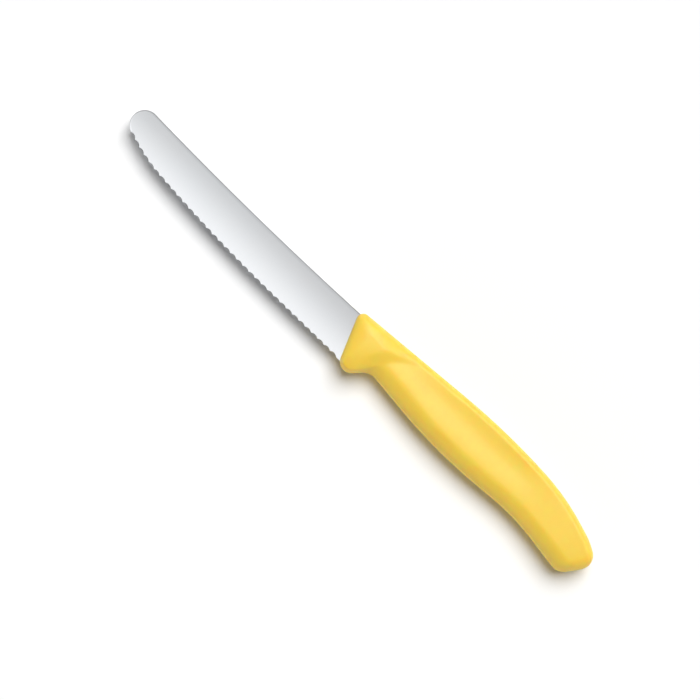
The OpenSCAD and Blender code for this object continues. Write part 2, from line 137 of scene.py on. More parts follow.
class KnifeHandleSizes(bpy.types.PropertyGroup):
    """Sizes of the handle: the corners of its side outline with their radii, and its sections."""

    front_lean: tilt(21.7, "Front lean", "Lean of the front face from upright")
    front_cover: length(1.24, "Front cover", "Cover of plastic above the spine at the front")
    front_r: length(2.4, "Front radius", "Corner radius at the top of the front")
    guard_drop: length(4.85, "Guard drop", "Drop of the finger guard's corner below the edge line")
    guard_r: length(4.05, "Guard radius", "Radius of the finger guard")
    notch_x: length(10.4, "Notch place", "From the heel datum to the finger notch")
    notch_h: length(4.35, "Notch height", "Height of the finger notch above the edge line")
    notch_r: length(5.7, "Notch radius", "Radius of the finger notch")
    palm_x: length(45.3, "Palm place", "From the heel datum to the palm")
    palm_drop: length(3.85, "Palm drop", "Drop of the palm's corner below the notch")
    palm_r: length(200, "Palm radius", "Radius of the underside at the palm")
    hollow_x: length(81.2, "Hollow place", "From the heel datum to the little finger's hollow")
    hollow_rise: length(2.5, "Hollow rise", "Rise of the hollow above the palm's corner")
    hollow_r: length(93, "Hollow radius", "Radius of the little finger's hollow")
    butt_x: length(105.2, "Butt place", "From the heel datum to the butt's lower corner")
    butt_drop: length(3.7, "Butt drop", "Drop of the butt's lower corner below the hollow")
    butt_low_r: length(5.3, "Butt lower radius", "Radius of the butt's lower corner")
    butt_face: length(13.95, "Butt face", "Length of the end face between its two corners")
    butt_lean: tilt(36, "Butt lean", "Lean of the end face from upright")
    butt_top_r: length(4.9, "Butt upper radius", "Radius of the butt's upper corner")
    crest_h: length(22.5, "Crest height", "Height of the crest's corner above the edge line")
    crest_x: length(58.2, "Crest place", "From the heel datum to the crest's corner")
    crest_r: length(270, "Crest radius", "Radius of the crest")
    rear_run: length(30.4, "Rear run", "From the crest's corner to the rear slope's corner")
    rear_fall: length(1.9, "Rear fall", "Fall from the crest's corner to the rear slope's corner")
    rear_r: length(88, "Rear radius", "Radius of the rear slope")
    last_run: length(16.8, "Last run", "From the rear slope's corner to the last corner")
    last_fall: length(5.4, "Last fall", "Fall from the rear slope's corner to the last corner")
    last_r: length(23, "Last radius", "Radius of the last corner before the butt")
    front_w: length(12.4, "Front thickness", "Thickness across the raised front")
    palm_w: length(11.6, "Palm thickness", "Thickness at the palm")
    hollow_w: length(10.6, "Hollow thickness", "Thickness at the little finger's hollow")
    butt_w: length(12.6, "Butt thickness", "Thickness at the butt")
    front_step: length(1.6, "Front step", "Step from the raised front down to the grip, on each side")
    crease_x: length(6.3, "Crease place", "From the heel datum to the crease")
    crease_h: length(6.4, "Crease height", "Height at which the crease starts to sweep back")
    crease_sweep: share(55, "Crease sweep", "Sweep of the crease for each square metre of height")
    step_lead: length(0.6, "Step lead", "Width ahead of the crease over which the step starts")
    step_run: length(5.4, "Step run", "Width behind the crease over which the step runs out")
    step_fade: length(13.3, "Step fade", "Height at which the step starts to fade")
    step_gone: length(20, "Step gone", "Height at which the step has gone")
    front_end: length(6, "Front end", "Place where the front's section starts to turn into the grip's")
    grip_start: length(14, "Grip start", "Place where the grip's section starts")
    front_fall_top: length(0.4, "Front fall, top", "Fall of the front's side from its crown to the top")
    front_fall_low: length(2.25, "Front fall, guard", "Fall of the front's side from its crown to the guard")
    front_crown: length(9.1, "Front crown", "Height of the front's crown above the guard")
    back_fall: length(1.9, "Back fall", "Fall of the grip's side from its crown to the back, at the front")
    butt_rise: length(0.5, "Butt rise", "Rise of the side from its crown to the back, at the butt")
    scoop: length(0.8, "Scoop", "Depth of the long shallow scoop in the grip's sides")
    scoop_x: length(43, "Scoop place", "From the heel datum to the scoop's deepest place")
    scoop_fade: length(66, "Scoop fade", "Place where the scoop starts to run out")
    scoop_end: length(88, "Scoop end", "From the heel datum to the scoop's end")
    scoop_span: tilt(164, "Scoop span", "Angle that the scoop's sine runs through from crown to back")
    back_round: length(2.2, "Back round", "Depth of the rounding along the back")
    back_square: share(2.3, "Back squareness", "Squareness of that rounding, a quarter-ellipse at 2")
    back_soft: share(0.5, "Back softness", "Share of that rounding's depth over which it starts gently")
    guard_round: length(1.5, "Guard round", "Depth of the rounding along the guard")
    notch_round: length(6.1, "Notch round", "Depth of the underside's rounding behind the notch")
    under_round: length(5.7, "Under round", "Depth of the underside's rounding from palm to butt")
    under_square: share(1.44, "Under squareness", "Squareness of the underside's rounding")
    under_soft: share(0.2, "Under softness", "Share of that rounding's depth over which it starts gently")
    back_share: share(0.35, "Back share", "Most of a section's height that the back's rounding takes up")
    under_share: share(0.6, "Under share", "Most of a section's height that the underside's takes up")
    front_strip: length(6.5, "Front strip", "Width of the rounded strip down the front face, above the guard")
    guard_strip: length(2.3, "Guard strip", "Width of that strip at the guard")
    strip_rise: length(12, "Strip rise", "Height above the guard at which that strip has its full width")
    front_strip_t: length(4.6, "Front strip depth", "Depth of that strip across the thickness")
    butt_strip: length(6.5, "Butt strip", "Width of the rounded strip round the butt")
    butt_strip_t: length(5, "Butt strip depth", "Depth of that strip across the thickness")
    swell_run: length(12, "Swell run", "Distance ahead of the butt where the full thickness is reached")
    mid_h: length(10, "Middle height", "Height at which a section's place along the handle is measured")
    front_fan_end: length(22, "Front fan", "Place where the leaning front sections come upright")
    rear_fan_start: length(82, "Rear fan", "Place where the rear sections start to lean")


class KnifeFinish(bpy.types.PropertyGroup):
    """Colours and finishes."""

    steel: colour((240, 241, 243), "Steel", "Colour of the ground steel")
    steel_cool: colour((237, 240, 243), "Steel, cool", "Colour of its slightly bluer clouds")
    # painted shade: the rim round spine and tip is darkened to stand for the dark line that shade lays along
    # its rounded border
    steel_rim_painted_shade: colour((150, 150, 152), "Steel, rim", "Colour of the unground rim round spine and tip")
    steel_rough: share(0.2, "Steel roughness", "Roughness of the satin grind")
    steel_streak: share(0.1, "Steel streaks", "How much the roughness varies from line to line")
    line_gap: length(0.22, "Grinding line", "Width of the finest grinding lines")
    line_len: length(9, "Line length", "Length of the grinding lines")
    line_depth: length(0.0006, "Line depth", "Depth of the grinding lines")
    stretch: share(0.45, "Stretch", "How far reflections spread along the blade rather than across it")
    plastic: colour((247, 212, 75), "Plastic", "Colour of the handle")
    plastic_deep: colour((245, 208, 71), "Plastic, deep", "Colour of its slightly darker clouds")
    plastic_rough: share(0.5, "Plastic roughness", "Roughness of the moulded surface")
    grain: length(0.35, "Grain", "Size of the moulded surface's grain")
    grain_depth: length(0.004, "Grain depth", "Depth of that grain")
    glow: share(0.7, "Glow", "Share of the light that spreads inside the plastic")
    glow_depth: length(2.4, "Glow depth", "How far red light spreads inside the plastic")
    floor: colour((255, 255, 255), "Floor", "Colour of the floor")
    floor_lift: share(0.015, "Floor lift", "White added to the seen floor, to match the background")


class KnifeStageSettings(bpy.types.PropertyGroup):
    """Lamps, room, floor and camera. The levels are shares of the light that shows a white floor as white."""

    key: share(0.9, "Key", "Share of the floor's light that comes from the key lamp")
    key_tilt: tilt(30, "Key tilt", "Lean of the key lamp from overhead towards the spine")
    key_turn: tilt(10, "Key turn", "Turn of that lean towards the tip")
    key_spread: tilt(44, "Key spread", "Width of the key lamp as the knife sees it")
    room: share(0.04, "Room", "Light of the room from overhead")
    walls: share(1.7, "Walls", "Light that the walls add towards the floor")
    walls_power: share(6, "Walls, power", "How closely that light keeps to the foot of the walls")
    walls_turn: share(1, "Walls, turn", "How much more of it comes from the side of the edge")
    ceiling_light: share(1.18, "Ceiling, light", "Level that the steel reflects on the side of the edge")
    ceiling_dark: share(0.61, "Ceiling, dark", "Level that the steel reflects on the side of the spine")
    ceiling_far: share(0.72, "Ceiling, far", "Level that the steel reflects far out on that side")
    ceiling_reach: share(-0.6, "Ceiling reach", "Place across the ceiling where it has fallen to that level")
    ceiling_full: share(-0.25, "Ceiling full", "Place across the ceiling where it is lightest")
    ceiling_start: share(-0.12, "Ceiling start", "Place across the ceiling where it starts to darken")
    ceiling_end: share(0.003, "Ceiling end", "Place across the ceiling where it is darkest")
    ceiling_axis: FloatVectorProperty(
        name="Ceiling axis", description="Direction in which the ceiling darkens", default=(0.2, 1, 0)
    )
    floor_half: length(4000, "Floor", "Half the width of the floor")
    lens: FloatProperty(name="Lens", description="Focal length of the camera", default=135)
    seen_width: length(241.85, "Seen width", "Width of the picture at the knife's middle plane")
    middle_x: length(0.142, "Picture middle, along", "Distance of the picture's middle behind the heel datum")
    middle_y: length(5.119, "Picture middle, across", "Height of the picture's middle above the edge line")
    turn: tilt(44, "Turn", "Turn of the picture about the upright axis")


def datum():
    """The heel datum in the frame, from the tip, the edge line and the middle of the handle's thickness."""
    blade = bpy.context.scene.knife_blade
    return np.array([
        BLADE_BOX[0].x + blade.blade_len,
        BLADE_BOX[0].y,
        (HANDLE_BOX[0].z + HANDLE_BOX[1].z) / 2,
    ])


def clamp(t):
    """t held between 0 and 1."""
    return np.clip(t, 0, 1)


def ease(x, start, end):
    """0 before start, 1 after end, and a smooth cubic between them."""
    t = clamp((x - start) / (end - start))
    return t * t * (3 - 2 * t)


def mix(a, b, t):
    """a at t 0, b at t 1, and a straight line between them."""
    return a + (b - a) * t


def rounding(d, square=2.0, soft=0.0):
    """Rises from 0 at d 0 to 1 at d 1 as sqrt(1 - (1 - d)^square): a quarter-ellipse where square is 2.

    Its end at 1 is blended by a parabola over the share soft on either side, so that no line shows there.
    """
    left = np.minimum(1 - d, 1)
    if soft:
        left = np.where(left > soft, left, np.maximum(left + soft, 0) ** 2 / (4 * soft))
    return np.sqrt(np.maximum(1 - np.maximum(left, 0) ** square, 0))


def unit(v):
    """v at length 1."""
    return v / np.linalg.norm(v)


def arc(centre, radius, start, turn, count):
    """count + 1 points of a circle: centre plus radius times the cosine and sine of evenly spaced angles."""
    angle = start + turn * np.linspace(0, 1, count + 1)
    return np.stack([centre[0] + radius * np.cos(angle), centre[1] + radius * np.sin(angle)], axis=1)


def corner(a, b, c, radius, count=48):
    """The arc that rounds corner b of the path a, b, c and touches both of its sides."""
    u, w = unit(a - b), unit(c - b)
    half = math.acos(float(u @ w)) / 2
    centre = b + unit(u + w) * radius / math.sin(half)
    first = b + u * radius / math.tan(half) - centre
    side = 1 if (b - a)[0] * (c - b)[1] - (b - a)[1] * (c - b)[0] > 0 else -1
    return arc(centre, radius, math.atan2(first[1], first[0]), side * (math.pi - 2 * half), count)


def grid_mesh(name, points, **shares):
    """A closed mesh from points[column, row]: rows close round, and both end columns are capped.

    Each cap is a strip of quads that joins row j to its opposite row, so a flat end stays flat.
    Points that fall together are welded, which also closes a pole. The shares are attributes of the points.
    """
    columns, rows = points.shape[:2]
    index = np.arange(columns * rows).reshape(columns, rows)
    a, b = index[:-1], np.roll(index[:-1], -1, axis=1)
    c, d = np.roll(index[1:], -1, axis=1), index[1:]
    faces = np.stack([a, b, c, d], axis=-1).reshape(-1, 4).tolist()
    up = np.arange(rows // 2)
    down = (rows - up) % rows
    around = [up[:-1], down[:-1], down[1:], up[1:]]
    low = np.stack([index[0, side] for side in around], -1)
    high = np.stack([index[-1, side] for side in [around[0], *around[:0:-1]]], -1)
    faces += low.tolist() + high.tolist()
    mesh = bpy.data.meshes.new(name)
    mesh.from_pydata(points.reshape(-1, 3).tolist(), [], faces)
    for key, values in shares.items():
        mesh.attributes.new(key, "FLOAT", "POINT").data.foreach_set("value", values.ravel())
    tidy(mesh)
    return mesh


def tidy(mesh):
    """Welds points that fall together, drops faces without area and turns every face outwards."""
    work = bmesh.new()
    work.from_mesh(mesh)
    bmesh.ops.remove_doubles(work, verts=work.verts, dist=WELD)
    bmesh.ops.dissolve_degenerate(work, edges=work.edges, dist=WELD)
    bmesh.ops.recalc_face_normals(work, faces=work.faces)
    work.to_mesh(mesh)
    work.free()


def add_piece(name, mesh, material, node):
    """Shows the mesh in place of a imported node, on the knife's one body."""
    piece = bpy.data.objects.new(name, mesh)
    bpy.context.scene.collection.objects.link(piece)
    mesh.materials.clear()
    mesh.materials.append(material)
    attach(piece, "root")
    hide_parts(node)
    return piece


def smooth(mesh, sharp):
    """Smooth shading, broken where two faces meet at more than the angle sharp."""
    mesh.shade_smooth()
    mesh.set_sharp_from_angle(angle=sharp)


class BladeOutline:
    """The blade's side outline: spine, tip, nose, belly and straight edge are arcs and lines that touch."""

    def __init__(self, sizes):
        s = self.s = sizes
        self.spine_centre = np.array([-s.waist_x, s.waist_h + s.spine_r])
        tip_x = s.tip_r - s.blade_len
        drop = math.sqrt((s.spine_r + s.tip_r) ** 2 - (tip_x - self.spine_centre[0]) ** 2)
        self.tip_centre = np.array([tip_x, self.spine_centre[1] - drop])
        run = s.blade_len - s.nose_len - s.straight_len
        self.belly_r = (run**2 + s.nose_rise**2) / (2 * s.nose_rise)
        self.belly_centre = np.array([-s.straight_len, self.belly_r])
        self.belly_turn = math.asin(run / self.belly_r)
        start = np.array([s.nose_len - s.blade_len, s.nose_rise])
        inward = unit(self.belly_centre - start)
        gap = start - self.tip_centre
        self.nose_r = (s.tip_r**2 - gap @ gap) / (2 * (gap @ inward + s.tip_r))
        self.nose_centre = start + self.nose_r * inward
        away = self.nose_centre - self.tip_centre
        self.edge_turn = math.pi / 2 - math.atan2(away[1], away[0])
        self.belly_len = self.belly_r * self.belly_turn
        self.nose_len = self.nose_r * (self.edge_turn - self.belly_turn)
        self.edge_len = s.straight_len + self.belly_len + self.nose_len
        self.top = self.tip_centre[1] + s.tip_r

    def spine_at(self, x):
        """Height of the spine at x, on its circle."""
        return self.spine_centre[1] - np.sqrt(self.s.spine_r**2 - (x - self.spine_centre[0]) ** 2)

    def edge(self, s):
        """Points, inward directions and turns of the edge line at distances s from the heel datum.

        The turn grows by the distance over the radius on the belly and the nose. A point of an arc is its
        centre less the radius times the inward direction.
        """
        straight, belly = self.s.straight_len, self.s.straight_len + self.belly_len
        on_belly = np.clip((s - straight) / self.belly_r, 0, self.belly_turn)
        on_nose = np.maximum(s - belly, 0) / self.nose_r
        turn = on_belly + on_nose
        inward = np.stack([np.sin(turn), np.cos(turn)], axis=-1)
        level = np.stack([-s, np.zeros_like(s)], axis=-1)
        low = self.belly_centre - self.belly_r * inward
        high = self.nose_centre - self.nose_r * inward
        point = np.where((s < straight)[..., None], level, np.where((s < belly)[..., None], low, high))
        return point, inward, turn

    def half_t(self, y):
        """Half the thickness at height y: a straight taper from edge to spine, plus the crown's parabola."""
        up = y / self.top
        return mix(self.s.edge_t, self.s.spine_t, up) / 2 + 4 * self.s.crown * up * (1 - up)

    def taper(self, y):
        """Gain of half the thickness for each unit of height."""
        return ((self.s.spine_t - self.s.edge_t) / 2 + 4 * self.s.crown * (1 - 2 * y / self.top)) / self.top


def groove(outline, along):
    """Where the wheel's cylinder cuts each column of the blade.

    Across a groove the cylinder falls away from its valley by sag = R - sqrt(R^2 - x^2), and along a column
    its height drops by the tangent of the wheel angle. It starts on the left face at the scallop's own border
    and runs out on the right face.
    Returns the distances of both borders from the edge line, and the cylinder's height at the edge line with
    its fall for each unit of distance.
    """
    s = outline.s
    count = int((outline.edge_len - s.plain_start) / s.pitch)
    place = np.clip(np.floor((along - s.plain_start) / s.pitch), 0, count - 1)
    middle = s.plain_start + (place + 0.5) * s.pitch
    sag_at_cusp = (s.depth + s.land) * math.sin(s.wheel_angle)
    radius = ((s.pitch / 2) ** 2 + sag_at_cusp**2) / (2 * sag_at_cusp)
    # A column outside every groove is held within the nearest one's circle
    across = np.minimum(np.abs(along - middle), radius * 0.98)
    sag = radius - np.sqrt(radius**2 - across**2)
    foot, _, turn = outline.edge(along)
    slope, taper = math.tan(s.wheel_angle), outline.taper(foot[..., 1]) * np.cos(turn)
    side = outline.half_t(foot[..., 1])
    start = side + (taper + slope) * s.depth - sag / math.cos(s.wheel_angle)
    left = np.maximum((start - side) / (slope + taper), 0)
    right = np.maximum((start + side) / (slope - taper), 0)
    return left, right, start, slope


class KnifeBlade(bpy.types.Operator):
    """Grind the blade: flats that taper from spine to edge, a scalloped edge and an eased spine.

    The surface is a function of two parameters. One runs along the blade, from inside the handle to the tip,
    and pairs a point of the lower outline with a point of the spine. The other runs round the section: up the
    left flat, over the eased spine, down the right flat and down the groove to the edge.
    """

    bl_idname = "knife.blade"
    bl_label = "Blade"

    def execute(self, context):
        sizes = context.scene.knife_blade
        outline = BladeOutline(sizes)
        points, rim = blade_surface(outline, sizes)
        mesh = grid_mesh("blade_ground", points + datum(), rim=rim)
        smooth(mesh, BLADE_CREASE)
        add_piece("blade_ground", mesh, steel_material(context.scene.knife_finish), "blade")
        return {"FINISHED"}


def blade_columns(outline, sizes, inside=2.5 * MM, tip_count=72, meet_steps=4):
    """Distances along the edge, then the lower ends of the columns, their inward directions, and the upper.

    A column starts on the edge line, leaves it squarely and meets the spine's circle, which takes a few steps
    to find. Past the last cusp both ends of a column run round the tip, and meet at its foremost point.
    """
    step = sizes.pitch / sizes.samples
    start = sizes.plain_start - math.floor((sizes.plain_start + inside) / step) * step
    along = np.arange(start, outline.edge_len, step)
    along = np.append(along[along < outline.edge_len - step / 2], outline.edge_len)
    low, low_in, _ = outline.edge(along)
    rise = (outline.top - low[:, 1]) / low_in[:, 1]
    for _ in range(meet_steps):
        x = low[:, 0] + rise * low_in[:, 0]
        rise = (outline.spine_at(x) - low[:, 1]) / low_in[:, 1]
    high = low + rise[:, None] * low_in
    high_in = (high - outline.spine_centre) / sizes.spine_r
    t = np.sin(np.linspace(0, math.pi / 2, tip_count + 1))[1:]
    first = -math.pi / 2 - outline.edge_turn
    low_angle = mix(first, -math.pi, t)
    low_tip_in = -np.stack([np.cos(low_angle), np.sin(low_angle)], axis=1)
    low_tip = outline.tip_centre - sizes.tip_r * low_tip_in
    touch = unit(outline.spine_centre - outline.tip_centre)
    touch_angle = math.atan2(touch[1], touch[0])
    touch_x = outline.tip_centre[0] + sizes.tip_r * touch[0]
    flat_len = high[-1, 0] - touch_x
    round_len = sizes.tip_r * (math.pi - touch_angle)
    gone = t * (flat_len + round_len)
    on_flat = gone < flat_len
    x = high[-1, 0] - np.minimum(gone, flat_len)
    flat = np.stack([x, outline.spine_at(x)], axis=1)
    flat_in = (flat - outline.spine_centre) / sizes.spine_r
    angle = touch_angle + np.maximum(gone - flat_len, 0) / sizes.tip_r
    round_in = -np.stack([np.cos(angle), np.sin(angle)], axis=1)
    rounded = outline.tip_centre - sizes.tip_r * round_in
    high_tip = np.where(on_flat[:, None], flat, rounded)
    high_tip_in = np.where(on_flat[:, None], flat_in, round_in)
    tip_along = outline.edge_len + sizes.tip_r * (first - low_angle)
    return (
        np.concatenate([along, tip_along]),
        np.concatenate([low, low_tip]),
        np.concatenate([low_in, low_tip_in]),
        np.concatenate([high, high_tip]),
        np.concatenate([high_in, high_tip_in]),
    )


def blade_surface(outline, sizes, flat_rows=16, groove_rows=10, ease_rows=4, ease_run=5):
    """Points [column, row, xyz] of the blade in the knife's own axes, and their shares of the rim.

    Both borders of the spine are quarter circles, and so are those of the edge where it is plain, past the
    last cusp, which reach their full size ease_run run-outs further on. The rim, which the steel darkens as
    painted shade, runs along the spine and round the tip.
    """
    along, low, low_in, high, high_in = blade_columns(outline, sizes)
    left, right, start, slope = groove(outline, np.minimum(along, outline.edge_len))
    past = clamp((along - outline.edge_len) / sizes.run_out)
    low_r = sizes.tip_ease * ease(along, outline.edge_len, outline.edge_len + ease_run * sizes.run_out)
    high_r = sizes.spine_ease
    left_low = np.maximum(left * (1 - past), low_r)
    right_low = np.maximum(right * (1 - past), low_r)
    left_foot, right_foot = low + low_in * left_low[:, None], low + low_in * right_low[:, None]
    head = high + high_in * high_r
    foot_t, head_t = outline.half_t(left_foot[:, 1]), outline.half_t(head[:, 1])

    def row(point, z):
        return np.concatenate([point, z[:, None]], axis=1)

    def low_border(angle):
        """A point of the quarter circle at the edge and its depth below the flat."""
        point = low + low_in * (left_low - low_r * math.sin(angle))[:, None]
        return point, low_r * (1 - math.cos(angle))

    def spine_border(angle):
        """A point of the quarter circle at the spine and its height above the middle."""
        return high + high_in * high_r * (1 - math.sin(angle)), head_t - high_r * (1 - math.cos(angle))

    turn = np.linspace(0, math.pi / 2, ease_rows + 1)
    rows = []
    for angle in turn[:0:-1]:
        point, depth = low_border(angle)
        rows.append(row(point, foot_t - depth))
    for t in np.linspace(0, 1, flat_rows + 1):
        point = mix(left_foot, head, t)
        rows.append(row(point, outline.half_t(point[:, 1])))
    for angle in turn[1:]:
        point, z = spine_border(angle)
        rows.append(row(point, z))
    for angle in turn[:0:-1]:
        point, z = spine_border(angle)
        rows.append(row(point, -z))
    for t in np.linspace(1, 0, flat_rows + 1):
        point = mix(right_foot, head, t)
        rows.append(row(point, -outline.half_t(point[:, 1])))
    for t in np.linspace(0, 1, groove_rows + 1)[1:]:
        distance = mix(right_low, left_low, t)
        point = low + low_in * distance[:, None]
        side = outline.half_t(point[:, 1])
        ground = np.clip(start - slope * distance, -side, side)
        rows.append(row(point, mix(ground, -side, past)))
    groove_end = rows[-1][:, 2]
    for angle in turn[1:]:
        point, depth = low_border(angle)
        rows.append(row(point, np.where(low_r > 0, depth - foot_t, groove_end)))
    rim = np.zeros((len(along), len(rows)))
    spine = ease_rows + flat_rows + 1
    rim[:, spine : spine + 2 * ease_rows] = 1
    rim[:, :ease_rows] = rim[:, -ease_rows:] = (low_r / sizes.tip_ease)[:, None]
    return np.stack(rows, axis=1), rim


class HandleShape:
    """The handle's side outline and the rule for its sections, in the knife's own axes."""

    def __init__(self, blade, sizes):
        s = self.s = sizes
        self.lean = math.tan(s.front_lean)
        heel_h = float(blade.spine_at(np.array(-self.lean * blade.s.waist_h)))
        front_h = heel_h + s.front_cover
        front_top = np.array([-self.lean * front_h, front_h])
        guard = np.array([self.lean * s.guard_drop, -s.guard_drop])
        notch = np.array([s.notch_x, s.notch_h])
        palm = np.array([s.palm_x, s.notch_h - s.palm_drop])
        hollow = np.array([s.hollow_x, palm[1] + s.hollow_rise])
        butt_low = np.array([s.butt_x, hollow[1] - s.butt_drop])
        butt_top = butt_low + s.butt_face * np.array([math.sin(s.butt_lean), math.cos(s.butt_lean)])
        crest = np.array([s.crest_x, s.crest_h])
        rear = crest + [s.rear_run, -s.rear_fall]
        last = rear + [s.last_run, -s.last_fall]
        under = [front_top, guard, notch, palm, hollow, butt_low, butt_top]
        back = [guard, front_top, crest, rear, last, butt_top, butt_low]
        self.first = -self.lean * s.mid_h
        self.last = butt_low[0] + math.tan(s.butt_lean) * (s.mid_h - butt_low[1])
        self.under = self.rail(under, [s.guard_r, s.notch_r, s.palm_r, s.hollow_r, s.butt_low_r])
        self.back = self.rail(back, [s.front_r, s.crest_r, s.rear_r, s.last_r, s.butt_top_r])

    def rail(self, path, radii, count=24):
        """The rounded path as places along the handle and heights, with count points for each bit of it."""
        arcs = [corner(*path[i : i + 3], r) for i, r in enumerate(radii)]
        points = np.concatenate(arcs)
        fine = [np.linspace(p, q, count, endpoint=False) for p, q in zip(points[:-1], points[1:])]
        points = np.concatenate([*fine, points[-1:]])
        return self.station(points), points[:, 1]

    def station(self, p):
        """Place along the handle of a point: where its section crosses the middle height."""
        s = self.s
        x, y = p[:, 0], p[:, 1]
        front_y = s.mid_h - (s.front_fan_end - self.first) / self.lean
        rear_y = s.mid_h - (self.last - s.rear_fan_start) / math.tan(s.butt_lean)
        front = s.front_fan_end + (x - s.front_fan_end) * (s.mid_h - front_y) / (y - front_y)
        rear = s.rear_fan_start + (x - s.rear_fan_start) * (s.mid_h - rear_y) / (y - rear_y)
        return np.where(x < s.front_fan_end, front, np.where(x > s.rear_fan_start, rear, x))

    def lean_at(self, t):
        """Lean of the section at a place: that of the front at one end, that of the butt at the other."""
        s = self.s
        front = -self.lean * (s.front_fan_end - t) / (s.front_fan_end - self.first)
        rear = math.tan(s.butt_lean) * (t - s.rear_fan_start) / (self.last - s.rear_fan_start)
        return np.where(t < s.front_fan_end, front, np.where(t > s.rear_fan_start, rear, 0))

    def grip(self, t):
        """0 at the front and 1 along the grip."""
        return ease(t, self.s.front_end, self.s.grip_start)

    def under_depth(self, t):
        """Depth of the rounding along the underside, at a place."""
        s = self.s
        under = mix(s.notch_round, s.under_round, ease(t, s.grip_start, s.palm_x))
        return mix(s.guard_round, under, self.grip(t))

    def half_w(self, t):
        """Half the grip's thickness at a place: front, palm, hollow and butt, joined by smooth cubics."""
        s = self.s
        return (
            mix(s.front_w / 2 - s.front_step, s.palm_w / 2, ease(t, s.front_end, s.palm_x))
            + (s.hollow_w - s.palm_w) / 2 * ease(t, s.palm_x, s.hollow_x)
            + (s.butt_w - s.hollow_w) / 2 * ease(t, s.hollow_x, self.last - s.swell_run)
        )

    def fall(self, t, y, low, high):
        """How far the side has fallen from its fullest.

        The front falls with the square of the height's share, above and below its crown. The grip tilts by
        one less the cosine of that share, and its scoop is a squared sine that ends a little short of the
        back.
        """
        s = self.s
        crown = low + mix(s.front_crown, self.under_depth(t), self.grip(t))
        up, down = clamp((y - crown) / (high - crown)), clamp((crown - y) / (crown - low))
        front = s.front_fall_top * up**2 + s.front_fall_low * down**2
        tilted = mix(s.back_fall, -s.butt_rise, t / self.last) * (1 - np.cos(math.pi / 2 * up))
        scooped = s.scoop * ease(t, 0, s.scoop_x) * (1 - ease(t, s.scoop_fade, s.scoop_end))
        return mix(front, tilted, self.grip(t)) + scooped * np.sin(s.scoop_span * up) ** 2

    def step_at(self, x, y):
        """Height of the raised front above the grip.

        It is whole ahead of the crease, which sweeps back with the square of the height. It runs out behind
        the crease in a smooth cubic, and fades towards the top in another.
        """
        s = self.s
        h = np.maximum(y - s.crease_h, 0)
        slope = 2 * s.crease_sweep * h
        behind = (x - s.crease_x - s.crease_sweep * h * h) / np.sqrt(1 + slope * slope)
        faded = ease(y, s.step_fade, s.step_gone)
        return s.front_step * (1 - faded) * (1 - ease(behind, -s.step_lead, s.step_run))

    def side(self, t, x, y, low, high):
        """Half thickness at a point: the grip's, plus the step, less its fall, times its roundings."""
        s = self.s
        width = mix(s.guard_strip, s.front_strip, ease(y, low, low + s.strip_rise))
        front = 1 - s.front_strip_t / (s.front_w / 2) * (1 - rounding((t - self.first) / width))
        butt = 1 - s.butt_strip_t / (s.butt_w / 2) * (1 - rounding((self.last - t) / s.butt_strip))
        z = (self.half_w(t) + self.step_at(x, y) - self.fall(t, y, low, high)) * front * butt
        z = z * rounding((high - y) / s.back_round, s.back_square, s.back_soft)
        return z * rounding((y - low) / self.under_depth(t), s.under_square, s.under_soft)

    def surface(
        self, front_count=24, body_count=200, butt_count=26, back_rows=20, side_rows=44, under_rows=30
    ):
        """Points [column, row, xyz]: columns follow the handle, rows go down the left side and up the right.

        By the cosine, columns crowd at both ends and rows within both roundings.
        """
        s = self.s
        bend = np.linspace(0, math.pi / 2, front_count, endpoint=False)
        front = self.first + s.guard_strip * (1 - np.cos(bend))
        body = np.linspace(self.first + s.guard_strip, self.last - s.butt_strip, body_count, endpoint=False)
        bend = np.linspace(math.pi / 2, 0, butt_count + 1)
        butt = self.last - s.butt_strip * (1 - np.cos(bend))
        t = np.concatenate([front, body, butt])[:, None]
        low = np.interp(t, *self.under)
        high = np.interp(t, *self.back)
        top = high - np.minimum(s.back_round, (high - low) * s.back_share)
        bottom = low + np.minimum(self.under_depth(t), (high - low) * s.under_share)
        bend = np.linspace(0, math.pi / 2, back_rows, endpoint=False)
        y_back = high - (high - top) * (1 - np.cos(bend))
        y_side = mix(top, bottom, np.linspace(0, 1, side_rows, endpoint=False))
        bend = np.linspace(math.pi / 2, 0, under_rows + 1)
        y_under = low + (bottom - low) * (1 - np.cos(bend))
        y = np.concatenate([y_back, y_side, y_under], axis=1)
        x = t + self.lean_at(t) * (y - s.mid_h)
        z = self.side(t, x, y, low, high)
        left = np.stack([x, y, z], axis=-1)
        right = left[:, -2:0:-1] * [1, 1, -1]
        return np.concatenate([left, right], axis=1)


class KnifeHandle(bpy.types.Operator):
    """Mould the handle: sections with a raised front, a finger guard, a scooped grip and a drooping butt.

    The surface is a function of two parameters: the place along the handle, at which the section's lowest and
    highest points are read from the rounded side outline, and the height within the section, from which the
    half thickness follows. The sections lean with the front at one end and with the butt at the other.
    """

    bl_idname = "knife.handle"
    bl_label = "Handle"

    def execute(self, context):
        blade = BladeOutline(context.scene.knife_blade)
        shape = HandleShape(blade, context.scene.knife_handle)
        mesh = grid_mesh("handle_moulded", shape.surface() + datum())
        smooth(mesh, HANDLE_CREASE)
        finish = context.scene.knife_finish
        add_piece("handle_moulded", mesh, plastic_material(finish), "handle")
        return {"FINISHED"}


